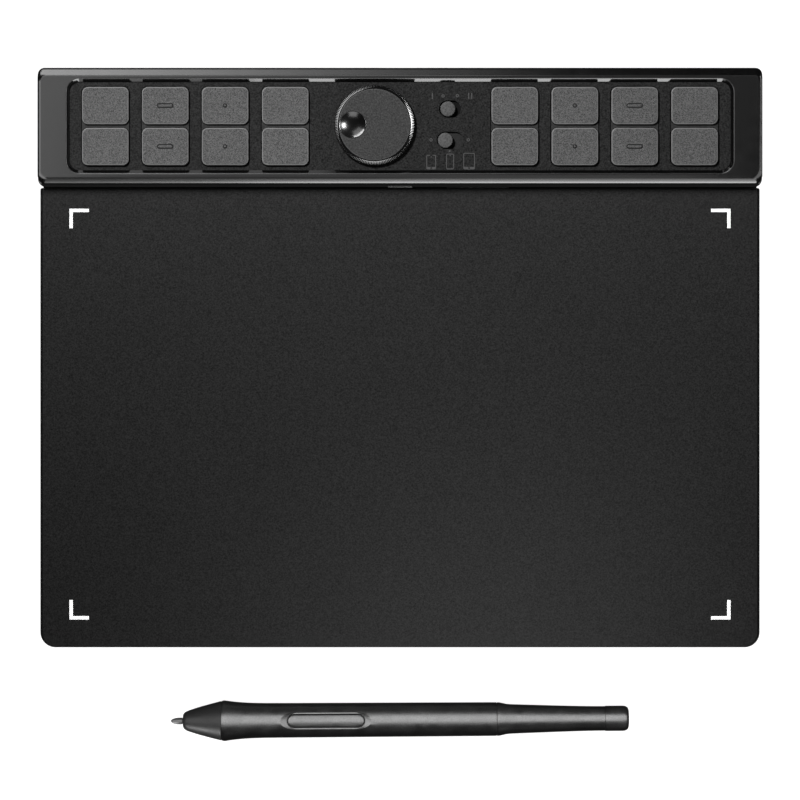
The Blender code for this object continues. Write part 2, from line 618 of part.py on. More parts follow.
barrel = pen_turned(
    "pen_barrel",
    [
        (PEN_BORE, 19.5), (7.65, 19.5), (PEN_COLLAR_R, 20.4), (7.75, 21.9), (7.3, 25.0), (7.0, 28.0), (6.8, 31.0), (6.72, 36.0), (6.6, 70.0), (PEN_REAR_R, PEN_REAR_S),
        (PEN_BORE, PEN_REAR_S),
    ],
    "pen_black",
)
_count[0] += 1
scoop = stadium(along(42.3), along(76.9), 0, 3.75, 8)
boolean(barrel, stack(f"cutter_{_count[0]:03d}", [(scoop, 5.5), (scoop, 9.0)], "rubber", (0, 0, 0), pen), "DIFFERENCE")
_count[0] += 1
slot = stadium(along(BUTTON_MID - BUTTON_HALF_L - 0.3), along(BUTTON_MID + BUTTON_HALF_L + 0.3), 0, BUTTON_HALF_W + 0.3, 8)
boolean(barrel, stack(f"cutter_{_count[0]:03d}", [(slot, 2.0), (slot, 9.0)], "rubber", (0, 0, 0), pen), "DIFFERENCE")

pen_turned(
    "pen_nose",
    [
        (1.65, 4.6), (2.1, 4.6), (3.2, 5.2), (4.0, 6.8), (5.0, 9.6), (6.15, 14.2), (7.55, 19.0), (7.55, 19.2), (4.2, 19.2), (4.2, 24.0), (3.4, 24.0), (3.4, 8.6), (1.65, 7.6),
    ],
    "pen_black",
)
pen_turned(
    "pen_tail",
    [
        (3.4, 125.3), (3.4, 120.0), (4.2, 120.0), (4.2, 125.3), (6.4, 125.3), (6.3, 126.4), (5.8, 129.2), (5.55, 133.0), (5.2, 142.0), (4.8, 158.0), (4.72, 166.5),
        (3.4, 166.5),
    ],
    "pen_black",
)
pen_turned(
    "pen_end_cap",
    [(0, 161.0), (3.0, 161.0), (3.0, 166.8), (4.78, 166.8), (4.85, 167.4), (4.85, 174.0), (4.3, 175.2), (3.2, 175.8), (0, 176.0)],
    "pen_black", closed=False,
)
nib = pen_turned("pen_nib", [(0, 0), (0.45, 0.1), (0.75, 0.6), (1.15, 1.9), (1.3, 3.3), (1.3, 4.2), (0.8, 4.9), (0.8, 26.0), (0, 26.0)], "nib_black", closed=False, n=12)
pen_turned("pen_coil", [(1.15, 9.2), (3.05, 9.2), (3.05, 18.6), (1.15, 18.6)], "copper", n=14)
box("pen_board", along(34.0), -3.3, -1.3, along(112.0), 3.3, -0.5, "pcb_green", (0, 0, 0), pen)

b0, b1 = along(BUTTON_MID - BUTTON_HALF_L), along(BUTTON_MID + BUTTON_HALF_L)
mid = (along(BUTTON_MID), 0, 4.0)
stack(
    "pen_side_button",
    [
        (stadium(b0, b1, 0, 3.3, 6), 1.6), (stadium(b0, b1, 0, 3.3, 6), 2.2),
        (stadium(b0, b1, 0, BUTTON_HALF_W, 6), 2.2), (stadium(b0, b1, 0, BUTTON_HALF_W, 6), 6.45), (stadium(b0 + 0.4, b1 - 0.4, 0, BUTTON_HALF_W - 0.4, 6), 6.8),
    ],
    "pen_black", mid, pen,
)
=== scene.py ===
"""Looks of the pen drawing tablet and its pen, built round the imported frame.

Written in millimetres and turned into metres when each piece is made.
"""
import json
import math

import bmesh
import bpy
from mathutils import Matrix, Vector

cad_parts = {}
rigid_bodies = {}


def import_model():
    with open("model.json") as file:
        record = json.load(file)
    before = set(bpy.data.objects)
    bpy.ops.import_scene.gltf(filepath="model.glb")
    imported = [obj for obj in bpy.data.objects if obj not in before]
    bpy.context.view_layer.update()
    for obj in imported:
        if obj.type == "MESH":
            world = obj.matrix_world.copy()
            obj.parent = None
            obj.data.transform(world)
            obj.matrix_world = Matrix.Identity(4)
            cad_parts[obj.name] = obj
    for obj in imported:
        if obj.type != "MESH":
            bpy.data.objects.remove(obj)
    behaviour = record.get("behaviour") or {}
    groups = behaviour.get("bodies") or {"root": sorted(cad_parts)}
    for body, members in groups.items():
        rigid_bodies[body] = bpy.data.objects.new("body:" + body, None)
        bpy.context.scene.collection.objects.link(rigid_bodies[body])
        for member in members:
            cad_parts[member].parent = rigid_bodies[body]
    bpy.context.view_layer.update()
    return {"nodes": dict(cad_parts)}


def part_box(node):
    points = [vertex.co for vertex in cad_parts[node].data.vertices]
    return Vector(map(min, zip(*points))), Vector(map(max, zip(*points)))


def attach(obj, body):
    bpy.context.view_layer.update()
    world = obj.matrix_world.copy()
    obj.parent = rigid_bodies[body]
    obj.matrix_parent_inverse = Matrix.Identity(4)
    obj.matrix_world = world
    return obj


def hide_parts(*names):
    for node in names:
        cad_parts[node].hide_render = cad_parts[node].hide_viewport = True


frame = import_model()

S = 0.001


def cad(node):
    """A CAD node's box in mm: x0, y0, z0, x1, y1, z1."""
    lo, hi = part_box(node)
    return tuple(v / S for v in (*lo, *hi))


# ------------------------------------------------------------------ camera
cam_data = bpy.data.cameras.new("camera")
cam_data.lens, cam_data.sensor_width = 250.0, 36.0
cam_data.clip_end = 100.0
cam = bpy.data.objects.new("camera", cam_data)
bpy.context.scene.collection.objects.link(cam)
SHEET_TOP = cad("drawing_sheet")[5]
cam.location = (0.0, 1.73 * S, (SHEET_TOP + 2134.4) * S)
bpy.context.scene.camera = cam
bpy.context.scene.view_settings.view_transform = "Standard"


# ------------------------------------------------------------------ materials
def nodes_of(name):
    m = bpy.data.materials.new(name)
    m.use_nodes = True
    t = m.node_tree
    return m, t, t.nodes["Principled BSDF"]


def link(t, a, b):
    t.links.new(a, b)


def math_node(t, op, a, b=None, clamp=False):
    n = t.nodes.new("ShaderNodeMath")
    n.operation, n.use_clamp = op, clamp
    for i, v in enumerate((a, b)):
        if v is None:
            continue
        if isinstance(v, (int, float)):
            n.inputs[i].default_value = v
        else:
            link(t, v, n.inputs[i])
    return n.outputs[0]


def noise(t, coords, scale, detail=2.0, rough=0.5):
    n = t.nodes.new("ShaderNodeTexNoise")
    n.inputs["Scale"].default_value = scale
    n.inputs["Detail"].default_value = detail
    n.inputs["Roughness"].default_value = rough
    link(t, coords, n.inputs["Vector"])
    return n.outputs["Fac"]


def ramp_range(t, value, lo, hi, out_lo, out_hi):
    n = t.nodes.new("ShaderNodeMapRange")
    for key, v in (("From Min", lo), ("From Max", hi), ("To Min", out_lo), ("To Max", out_hi)):
        n.inputs[key].default_value = v
    link(t, value, n.inputs["Value"])
    return n.outputs["Result"]


def moulded(name, colour, rough, grain=0.45, grain_mm=0.5, bump_mm=0.01, patch=0.10, rough_var=0.06, metallic=0.0,
            specular=0.5, dust=0.0, scratches=0.0, tint=(1.0, 1.0, 1.0), coat=0.0, stretch=None):
    """Moulded plastic, rubber or metal: a fine grain in colour and bump, slow patches, and roughness that varies.
    colour is the mean grey, grain its relative swing at the size grain_mm, patch the swing of the slow patches."""
    m, t, b = nodes_of(name)
    tc = t.nodes.new("ShaderNodeTexCoord").outputs["Object"]
    vec = tc
    if stretch:
        mp = t.nodes.new("ShaderNodeMapping")
        mp.inputs["Scale"].default_value = stretch
        link(t, tc, mp.inputs["Vector"])
        vec = mp.outputs["Vector"]
    fine = noise(t, vec, 1.0 / (grain_mm * S), 3.0, 0.62)
    slow = noise(t, tc, 1.0 / (38 * S), 2.0)
    mid = noise(t, tc, 1.0 / (4.5 * S), 3.0)
    f1 = ramp_range(t, fine, 0.28, 0.72, 1 - grain, 1 + grain)
    f2 = ramp_range(t, slow, 0.3, 0.7, 1 - patch, 1 + patch)
    f3 = ramp_range(t, mid, 0.3, 0.7, 1 - patch * 0.5, 1 + patch * 0.5)
    k = math_node(t, "MULTIPLY", math_node(t, "MULTIPLY", f1, f2), f3)
    if dust:
        d = noise(t, tc, 1.0 / (0.9 * S), 1.0)
        k = math_node(t, "ADD", k, ramp_range(t, d, 0.68, 0.8, 0.0, dust))
    mix = t.nodes.new("ShaderNodeVectorMath")
    mix.operation = "SCALE"
    mix.inputs[0].default_value = [colour * c for c in tint]
    link(t, k, mix.inputs["Scale"])
    link(t, mix.outputs["Vector"], b.inputs["Base Color"])
    r = ramp_range(t, mid, 0.3, 0.7, rough - rough_var, rough + rough_var)
    if scratches:
        mp2 = t.nodes.new("ShaderNodeMapping")
        mp2.inputs["Scale"].default_value = (30, 900, 300)
        mp2.inputs["Rotation"].default_value = (0, 0, 0.35)
        link(t, tc, mp2.inputs["Vector"])
        sc = noise(t, mp2.outputs["Vector"], 1.0, 4.0, 0.7)
        r = math_node(t, "ADD", r, ramp_range(t, sc, 0.62, 0.8, 0.0, scratches))
    link(t, r, b.inputs["Roughness"])
    b.inputs["Metallic"].default_value = metallic
    b.inputs["Specular IOR Level"].default_value = specular
    if coat:
        b.inputs["Coat Weight"].default_value = coat
        b.inputs["Coat Roughness"].default_value = 0.12
    if bump_mm:
        bp = t.nodes.new("ShaderNodeBump")
        bp.inputs["Strength"].default_value = 1.0
        bp.inputs["Distance"].default_value = bump_mm * S
        link(t, fine, bp.inputs["Height"])
        link(t, bp.outputs["Normal"], b.inputs["Normal"])
    m["base_k"] = colour
    return m


MAT = {
    "bezel": moulded("bezel_gloss", 0.002, 0.15, grain=0.10, grain_mm=0.35, bump_mm=0.0008, rough_var=0.015, scratches=0.03),
    # the bezel plastic coloured lighter for the recess rim: a painted highlight
    "bezel_rim_highlight": moulded("bezel_painted_rim_highlight", 0.012, 0.14, grain=0.1, grain_mm=0.35, bump_mm=0.0008, rough_var=0.015),
    "bezel_wall": moulded("bezel_recess_wall", 0.002, 0.07, grain=0.1, grain_mm=0.35, bump_mm=0.0004, rough_var=0.01, specular=0.40),
    "head_foot": moulded("head_foot_matte", 0.002, 0.5, grain=0.2, grain_mm=0.4, bump_mm=0.004, specular=0.05),
    "panel": moulded("panel_texture", 0.034, 0.55, grain=0.95, grain_mm=0.55, bump_mm=0.012, patch=0.05, specular=0.08),
    # the panel plastic a little lighter for its bevelled edges: a painted highlight
    "panel_bevel_highlight": moulded("panel_bevel_highlight", 0.040, 0.45, grain=0.2, grain_mm=0.5, bump_mm=0.006),
    "key": moulded("key_plastic", 0.150, 0.60, grain=0.95, grain_mm=0.37, bump_mm=0.018, patch=0.03, specular=0.3),
    # the key plastic twice as light for the rounded top edge: a painted highlight
    "key_rim_highlight": moulded("key_painted_edge_highlight", 0.30, 0.42, grain=0.15, grain_mm=0.6, bump_mm=0.006),
    # dark grey for the grooves round the key marks: painted shade
    "key_mark_shade": moulded("key_mark_painted_shade_ring", 0.035, 0.6, grain=0.15, grain_mm=0.5, bump_mm=0.004, specular=0.2),
    "key_foot": moulded("key_foot_shade", 0.006, 0.6, grain=0.15, grain_mm=0.5, bump_mm=0.004, specular=0.1),
    "web": moulded("key_web", 0.058, 0.60, grain=0.5, grain_mm=0.6, bump_mm=0.010, specular=0.15),
    "sheet": moulded("drawing_film", 0.0078, 0.58, grain=0.95, grain_mm=0.55, bump_mm=0.010, patch=0.03, rough_var=0.02, specular=0.12),
    # darker than the film, for the groove and the film's sides: painted shade
    "film_groove_shade": moulded("film_groove_painted_shade", 0.004, 0.5, grain=0.15, grain_mm=0.4, bump_mm=0.004),
    "pad": moulded("pad_cover_plastic", 0.006, 0.45, grain=0.2, grain_mm=0.4, bump_mm=0.006),
    "base": moulded("base_cover_plastic", 0.020, 0.58, grain=0.30, grain_mm=0.8, bump_mm=0.024, dust=0.05),
    "dial": moulded("dial_soft_plastic", 0.066, 0.55, grain=0.80, grain_mm=0.55, bump_mm=0.014, patch=0.04, specular=0.3),
    # lighter grey for the dial cap's outer edge: a painted highlight
    "dial_outer_highlight": moulded("dial_painted_edge_highlight", 0.105, 0.5, grain=0.2, grain_mm=0.5, bump_mm=0.004, specular=0.3),
    "dial_metal": moulded("dial_polished_rim", 0.30, 0.13, grain=0.12, grain_mm=0.3, bump_mm=0.001, metallic=1.0, rough_var=0.02),
    "dish": moulded("dish_piano_black", 0.004, 0.24, grain=0.1, grain_mm=0.5, bump_mm=0.0004, rough_var=0.02, specular=0.9),
    "dish_ring": moulded("dish_ring", 0.16, 0.3, grain=0.1, grain_mm=0.3, bump_mm=0.001, metallic=0.5),
    "knob": moulded("switch_knob", 0.138, 0.55, grain=0.45, grain_mm=0.6, bump_mm=0.012, specular=0.3),
    # the slider plates' greys are painted shade: the mode plate dark as in deep shade, the device plate lighter as in
    # shallow shade
    "slider": moulded("switch_slider_plate", 0.010, 0.6, grain=0.3, grain_mm=0.6, bump_mm=0.008, specular=0.1),
    "slider_shallow_shade": moulded("switch_plate_shallow_painted_shade", 0.034, 0.6, grain=0.5, grain_mm=0.6, bump_mm=0.008, specular=0.2),
    "white": moulded("white_ink", 0.90, 0.5, grain=0.03, grain_mm=0.6, bump_mm=0.004, patch=0.01),
    "print": moulded("grey_ink", 0.105, 0.5, grain=0.3, grain_mm=0.5, bump_mm=0.002),
    "lens": moulded("status_lens", 0.11, 0.3, grain=0.3, grain_mm=0.7, bump_mm=0.004),
    "pen": moulded("pen_satin", 0.085, 0.37, grain=0.22, grain_mm=0.5, bump_mm=0.006, metallic=0.96, patch=0.04),
    "pen_edge": moulded("pen_satin_edge", 0.11, 0.34, grain=0.12, grain_mm=0.5, bump_mm=0.003, metallic=0.8),
    "nose": moulded("pen_nose_rubber", 0.012, 0.44, grain=0.2, grain_mm=0.5, bump_mm=0.008, metallic=0.15, specular=0.16),
    "nib": moulded("nib_plastic", 0.030, 0.4, grain=0.15, grain_mm=0.4, bump_mm=0.003),
    "steel": moulded("drawn_steel", 0.45, 0.32, grain=0.12, grain_mm=0.25, bump_mm=0.002, metallic=1.0, stretch=(1, 8, 1)),
    "board": moulded("solder_mask", 0.16, 0.42, grain=0.1, grain_mm=1.2, bump_mm=0.006, tint=(0.08, 0.55, 0.25)),
    "ribbon": moulded("ribbon_film", 0.6, 0.4, grain=0.1, grain_mm=0.8, bump_mm=0.004, stretch=(6, 0.2, 1)),
    "chip": moulded("chip_moulding", 0.012, 0.5, grain=0.25, grain_mm=0.15, bump_mm=0.004),
    "silicone": moulded("mat_silicone", 0.22, 0.7, grain=0.08, grain_mm=0.5, bump_mm=0.006, dust=0.06),
    "rubber": moulded("foot_rubber", 0.018, 0.82, grain=0.3, grain_mm=0.5, bump_mm=0.02, dust=0.10),
    "copper": moulded("coil_winding", 0.5, 0.32, grain=0.2, grain_mm=0.12, bump_mm=0.02, metallic=1.0, tint=(1.0, 0.48, 0.28), stretch=(1, 0.1, 0.1)),
}


# ------------------------------------------------------------------ mesh helpers
def rrect(x0, y0, x1, y1, r, n=10):
    """Rounded rectangle, counter-clockwise from the lower right corner; r is one radius or four (lr, ur, ul, ll)."""
    r = r if hasattr(r, "__len__") else (r,) * 4
    out = []
    for (cx, cy, a0), (sx, sy), k in zip(((x1, y0, -90), (x1, y1, 0), (x0, y1, 90), (x0, y0, 180)), ((-1, 1), (-1, -1), (1, -1), (1, 1)), r):
        for i in range(n + 1):
            a = math.radians(a0 + 90 * i / n)
            out.append((cx + sx * k + k * math.cos(a), cy + sy * k + k * math.sin(a)))
    return out


def circle(cx, cy, r, n, turn=0.0):
    return [(cx + r * math.cos(turn + 2 * math.pi * i / n), cy + r * math.sin(turn + 2 * math.pi * i / n)) for i in range(n)]


def stadium(x0, x1, cy, r, n=12):
    a = [(x1 - r + r * math.cos(math.radians(-90 + 180 * i / n)), cy + r * math.sin(math.radians(-90 + 180 * i / n))) for i in range(n + 1)]
    return a + [(x0 + r + r * math.cos(math.radians(90 + 180 * i / n)), cy + r * math.sin(math.radians(90 + 180 * i / n))) for i in range(n + 1)]


def at_z(outline, z):
    return [(x, y, z) for x, y in outline]


def loft(bm, loops, closed=False, caps=True, mats=None):
    """Skin through loops of equal count. mats gives a material index per band."""
    rings = [[bm.verts.new(p) for p in loop] for loop in loops]
    n = len(rings[0])
    pairs = list(zip(rings, rings[1:])) + ([(rings[-1], rings[0])] if closed else [])
    for k, (a, b) in enumerate(pairs):
        for i in range(n):
            j = (i + 1) % n
            f = bm.faces.new((a[i], a[j], b[j], b[i]))
            if mats:
                f.material_index = mats[k]
    if caps and not closed:
        bm.faces.new(rings[0][::-1])
        f = bm.faces.new(rings[-1])
        if mats:
            f.material_index = mats[-1]
    return bm


def turned(bm, profile, n, closed=False, axis="z", centre=(0, 0, 0), radius=None):
    """Solid of revolution through (r, h) points. radius(r, h, i) may reshape each point."""
    rings = []
    for r, h in profile:
        if r < 1e-9:
            p = (0, 0, h) if axis == "z" else (h, 0, 0)
            rings.append([bm.verts.new([a + b for a, b in zip(p, centre)])])
            continue
        ring = []
        for i in range(n):
            a = 2 * math.pi * i / n + (math.pi / 2 if axis == "x" else 0)
            k = radius(r, h, i) if radius else r
            c, s = k * math.cos(a), k * math.sin(a)
            p = (c, s, h) if axis == "z" else (h, c, s)
            ring.append(bm.verts.new([u + v for u, v in zip(p, centre)]))
        rings.append(ring)
    for a, b in list(zip(rings, rings[1:])) + ([(rings[-1], rings[0])] if closed else []):
        for i in range(n):
            j = (i + 1) % n
            if len(a) == 1 and len(b) == 1:
                break
            if len(a) == 1:
                bm.faces.new((a[0], b[i], b[j]))
            elif len(b) == 1:
                bm.faces.new((a[i], a[j], b[0]))
            else:
                bm.faces.new((a[i], a[j], b[j], b[i]))
    return bm


def finish_bm(bm):
    bmesh.ops.remove_doubles(bm, verts=bm.verts, dist=1e-5)
    bmesh.ops.recalc_face_normals(bm, faces=bm.faces)
    if bm.calc_volume(signed=True) < 0:
        bmesh.ops.reverse_faces(bm, faces=bm.faces)


def obj_from(name, bm, mats, matrix=None):
    finish_bm(bm)
    m4 = Matrix.Scale(S, 4)
    if matrix is not None:
        m4 = matrix @ m4
    bmesh.ops.transform(bm, matrix=m4, verts=bm.verts)
    me = bpy.data.meshes.new(name)
    bm.to_mesh(me)
    bm.free()
    for k in mats:
        me.materials.append(MAT[k])
    o = bpy.data.objects.new(name, me)
    bpy.context.scene.collection.objects.link(o)
    return o


def carve(o, cutters, op="DIFFERENCE"):
    """Boolean with throw-away bmeshes or objects, applied to the mesh."""
    for c in cutters:
        mod = o.modifiers.new("cut", "BOOLEAN")
        mod.operation, mod.object, mod.solver = op, c, "EXACT"
    dg = bpy.context.evaluated_depsgraph_get()
    dg.update()
    me = bpy.data.meshes.new_from_object(o.evaluated_get(dg))
    o.modifiers.clear()
    old = o.data
    o.data = me
    bpy.data.meshes.remove(old)
    for c in cutters:
        d = c.data
        bpy.data.objects.remove(c)
        bpy.data.meshes.remove(d)
    return o


def bevel(o, width_mm, segs=2, angle=32, edge_material=-1):
    b = o.modifiers.new("bevel", "BEVEL")
    b.width, b.segments = width_mm * S, segs
    b.limit_method, b.angle_limit = "ANGLE", math.radians(angle)
    b.use_clamp_overlap = True
    b.harden_normals = False
    b.material = edge_material
    return o


def piece(o, body, nodes=(), angle=32, weighted=True):
    """Shades the piece and ties it to its body."""
    o.data.shade_smooth()
    o.data.set_sharp_from_angle(angle=math.radians(angle))
    if weighted:
        w = o.modifiers.new("normals", "WEIGHTED_NORMAL")
        w.keep_sharp, w.weight = True, 80
    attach(o, body)
    if nodes:
        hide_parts(*([nodes] if isinstance(nodes, str) else nodes))
    return o


def prism(name, outline, z0, z1, mats=("base",), matrix=None):
    return obj_from(name, loft(bmesh.new(), [at_z(outline, z0), at_z(outline, z1)]), mats, matrix)


def paint(node, mat, bevel_mm=0.0):
    """A CAD node that stays: its slots get a finished material, and its edges a small round."""
    o = frame["nodes"][node]
    for i in range(len(o.material_slots)):
        o.material_slots[i].material = MAT[mat]
    if not o.material_slots:
        o.data.materials.append(MAT[mat])
    if bevel_mm:
        bevel(o, bevel_mm, 2, 40)
    return o


# ------------------------------------------------------------------ control head cover
HX0, HY0, HZ0, HX1, HY1, HZ1 = cad("head_cover")
HZ0 = 4.3
TOP = HZ1


def arc(a0, a1, n):
    return [math.radians(a0 + (a1 - a0) * i / n) for i in range(n + 1)]


def front_profile():
    """Front of the head as (z, inset from the foot), from its foot up to the flat top."""
    y, z = 87.9, TOP
    knots = ((87.9, 0.0), (87.3, 3.0), (86.9, 8.0), (86.5, 15.0), (86.1, 24.0), (85.7, 33.0), (85.3, 39.0), (84.95, 43.0), (84.80, 76.0), (84.73, 87.0))
    out = [(z, y)]
    for (ya, ta), (yb, tb) in zip(knots, knots[1:]):
        n = 6
        for i in range(1, n + 1):
            t0, t1 = ta + (tb - ta) * (i - 1) / n, ta + (tb - ta) * i / n
            z -= (ya - yb) / n * math.tan(math.radians((t0 + t1) / 2))
            out.append((z, ya + (yb - ya) * i / n))
    out += [(8.9, 84.72), (8.35, 84.70), (8.0, 84.45), (7.9, 84.0), (7.78, 83.62), (7.6, HY0), (6.0, HY0), (HZ0 + 0.15, HY0), (HZ0, HY0 + 0.1)]
    return [(z, y - HY0) for z, y in reversed(out)]


BACK_SLOPE = ((9.0, 0.0), (9.3, 0.07), (9.62, 0.24), (9.82, 0.40), (10.1, 0.74), (10.7, 1.60), (11.2, 2.33), (11.5, 2.77), (11.66, 3.03), (11.74, 3.22), (11.78, 3.40), (TOP, 3.60))
END_ROUND = ((10.6, 0.0), (10.9, 0.10), (11.2, 0.26), (11.4, 0.45), (11.55, 0.66), (11.66, 0.86), (11.74, 1.03), (TOP, 1.22))


def between(table, z):
    if z <= table[0][0]:
        return table[0][1]
    for (z0, v0), (z1, v1) in zip(table, table[1:]):
        if z <= z1:
            return v0 + (v1 - v0) * (z - z0) / max(z1 - z0, 1e-9)
    return table[-1][1]


def head_layers():
    """(end inset, back inset, front inset, z) from the bottom rim up the outside."""
    front = front_profile()
    levels = sorted({round(z, 4) for z, _ in front} | {z for z, _ in BACK_SLOPE} | {z for z, _ in END_ROUND})
    return [(between(END_ROUND, z), between(BACK_SLOPE, z), between(front, z), z) for z in levels]


def build_head():
    loops, mats = [], []
    for e, b, f, z in head_layers():
        r = (3.2, 2.6, 2.6, 3.2)
        k = max(e, 0)
        loops.append(at_z(rrect(HX0 + e, HY0 + f, HX1 - e, HY1 - b, [max(0.6, q - k * 0.3) for q in r], 10), z))
        mats.append(0)
    # across the flat top to the recess, round its edge, down its slope
    ox0, oy0, ox1, oy1 = -128.05, 88.62, 128.05, 124.93
    ix0, iy0, ix1, iy1 = -126.85, 89.87, 126.85, 123.86

    def rec(t, z, extra=0.0):
        f = lambda a, b: a + (b - a) * t
        return at_z(rrect(f(ox0, ix0) - extra, f(oy0, iy0) - extra, f(ox1, ix1) + extra, f(oy1, iy1) + extra, f(5.2, 4.0) + extra, 10), z)

    loops += [rec(0, TOP, 0.32), rec(0, TOP - 0.02, 0.17), rec(0, TOP - 0.06, 0.06), rec(0, TOP - 0.10, 0.0), rec(0.08, TOP - 0.18), rec(1.0, 10.62), rec(1.0, 10.42)]
    # the rounded recess rim (index 1) is coloured lighter than the bezel: a painted highlight
    mats += [1, 1, 1, 1, 2, 2, 0]
    # ceiling and inner walls back to the rim
    w = 1.8
    inner = lambda z: at_z(rrect(HX0 + w, 86.6, HX1 - w, HY1 - 1.86, 0.8, 10), z)
    loops += [inner(10.42), inner(HZ0)]
    mats += [0, 0]
    o = obj_from("head_shell", loft(bmesh.new(), loops, closed=True, mats=mats), ("bezel", "bezel_rim_highlight", "bezel_wall", "head_foot"))
    for f in o.data.polygons:
        if f.center.y < 84.74 * S and f.center.z < 8.6 * S:
            f.material_index = 3
    hole = rrect(-6.5, 4.9, 6.5, 9.1, 0.25, 4)
    cutter = obj_from("c1", loft(bmesh.new(), [[(x, y, z) for x, z in hole] for y in (126.0, 131.0)]), ("bezel",))
    carve(o, [cutter])
    return piece(o, "tablet", "head_cover", angle=34)


head = build_head()

# small light bar on the foot's ledge
lens = obj_from("status_light_bar", loft(bmesh.new(), [at_z(rrect(-4.65 + i, 83.40 + i, 4.65 - i, 84.05 - i, 0.3 - i * 0.6, 5), z) for i, z in ((0, 7.3), (0, 7.95), (0.06, 8.03), (0.14, 8.06))]), ("lens",))
piece(lens, "tablet", "status_light_lens")

# ------------------------------------------------------------------ control panel
KEY_W, KEY_H, KEY_R, GAP = 17.95, 14.4, 2.3, 0.40
KEY_COLS = (44.0, 67.05, 90.0, 112.97)
ROWS = {"upper": 114.62, "lower": 98.93}
KEY_TOP = cad("key_left_1_upper")[5]
PANEL_Z0, PANEL_Z1 = cad("control_panel")[2], cad("control_panel")[5]
MODE = (18.33, 113.4, 14.95, 23.33)
DEVICE = (17.37, 101.37, 14.05, 24.3)
DX, DY = -9.78, 107.2

panel = prism("panel_plate", rrect(-130.0, 87.9, 130.0, 124.5, 3.6, 10), PANEL_Z0, PANEL_Z1, ("panel", "panel_bevel_highlight"))
cutters = []
py0, py1 = ROWS["lower"] - KEY_H / 2 - GAP, ROWS["upper"] + KEY_H / 2 + GAP
for side in (-1, 1):
    for c in KEY_COLS:
        w = KEY_W / 2 + GAP
        cutters.append(prism("cw", rrect(side * c - w, py0, side * c + w, py1, KEY_R + GAP, 10), PANEL_Z0 - 1, PANEL_Z1 + 1))
for x, y, x0, x1 in (MODE, DEVICE):
    cutters.append(prism("cs", stadium(x0, x1, y, 3.33, 24), PANEL_Z0 - 1, PANEL_Z1 + 1))
cutters.append(prism("cd", circle(DX, DY, 4.1, 48), PANEL_Z0 - 1, PANEL_Z1 + 1))
carve(panel, cutters)
# the bevel faces take the lighter edge grey: a painted highlight
bevel(panel, 0.10, 2, 40, 1)
piece(panel, "tablet", "control_panel", angle=40)

# printed marks on the panel: thin raised ink
INK = 0.015
bm = bmesh.new()


def ink_ring(outer, inner):
    loft(bm, [at_z(outer, PANEL_Z1 - 0.02), at_z(outer, PANEL_Z1 + INK), at_z(inner, PANEL_Z1 + INK), at_z(inner, PANEL_Z1 - 0.02)], closed=True)


def ink(outline):
    loft(bm, [at_z(outline, PANEL_Z1 - 0.02), at_z(outline, PANEL_Z1 + INK)])


def device_icon(x0, y0, x1, y1, chin, hole, top_dot=False, gap=False):
    s = 0.30
    ink_ring(rrect(x0, y0, x1, y1, 0.55, 5), rrect(x0 + s, y0 + (chin or s), x1 - s, y1 - s, 0.25, 5))
    cx = (x0 + x1) / 2
    if top_dot:
        ink(circle(cx, y1 - s - 0.45, 0.2, 12))
    if hole:      # the round key on the chin is left open
        masks.append(circle(cx, y0 + chin / 2, 0.36, 16))
    if gap:
        masks.append(rrect(cx - 0.5, y1 - s - 0.06, cx + 0.5, y1 + 0.06, 0.05, 4))


px = lambda x: (x - 400) * 0.3842
py = lambda y: (404.5 - y) * 0.3842
masks = []
device_icon(px(426.3), py(169.7), px(436.0), py(155.2), 0.95, True, True, True)
device_icon(px(446.1), py(169.7), px(453.9), py(154.0), 0.40, False, True)
device_icon(px(463.2), py(169.7), px(474.8), py(153.2), 0.95, True)
for x, y in ((443.0, 96.3), (457.2, 96.0), (431.0, 140.2), (468.2, 140.2)):
    ink_ring(circle(px(x), py(y), 0.62, 24), circle(px(x), py(y), 0.30, 24))
ink(circle(px(449.6), py(151.4), 0.36, 16))
# one bar and two bars name the two positions of the upper switch
for x, y, h in ((432.3, 96.4, 2.4), (468.6, 96.4, 2.4), (471.6, 96.4, 2.4)):
    ink(rrect(px(x) - 0.19, py(y) - h / 2, px(x) + 0.19, py(y) + h / 2, 0.15, 4))
for outline in masks:
    loft(bm, [at_z(outline, PANEL_Z1 + INK - 0.004), at_z(outline, PANEL_Z1 + INK + 0.004)], mats=[1, 1])
prints = obj_from("panel_prints", bm, ("print", "panel"))
piece(prints, "tablet", weighted=False)


# ------------------------------------------------------------------ webs between the keys
def web_outline(cx, grow=0.0):
    w = KEY_W / 2 + GAP - 0.28
    half_gap = (ROWS["upper"] - ROWS["lower"] - KEY_H) / 2
    mid = (ROWS["upper"] + ROWS["lower"]) / 2
    ax, ay, r = KEY_W / 2 - KEY_R, half_gap + KEY_R, KEY_R + 0.26
    first = math.acos((w - ax) / r)
    a = [first + (math.pi / 2 - first) * i / 8 for i in range(9)]
    q = [(ax + r * math.cos(t), ay - r * math.sin(t)) for t in a]
    up = q + [(-x, y) for x, y in reversed(q)]
    return [(cx + x, mid + y) for x, y in up + [(x, -y) for x, y in reversed(up)]]


for side, label in ((-1, "left"), (1, "right")):
    bm = bmesh.new()
    x0, y0, z0, x1, y1, z1 = cad(f"key_guide_{label}")
    for c in KEY_COLS:
        o = web_outline(side * c)
        mid = (ROWS["upper"] + ROWS["lower"]) / 2
        loft(bm, [at_z(o, 8.2), at_z(o, z1 + 0.63), at_z([(side * c + (x - side * c) * 0.985, mid + (y - mid) * 0.94) for x, y in o], z1 + 0.75)])
    # side rails that the webs stand on
    for c in KEY_COLS:
        loft(bm, [at_z(rrect(side * c - 9.8, 89.2, side * c - 9.72, 123.2, 0.02, 1), z) for z in (7.4, 8.5)])
    loft(bm, [at_z(rrect(x0, mid - 0.5, x1, mid + 0.5, 0.1, 2), z) for z in (7.5, 8.2)])
    g = obj_from(f"key_webs_{label}", bm, ("web",))
    piece(g, "tablet", f"key_guide_{label}")


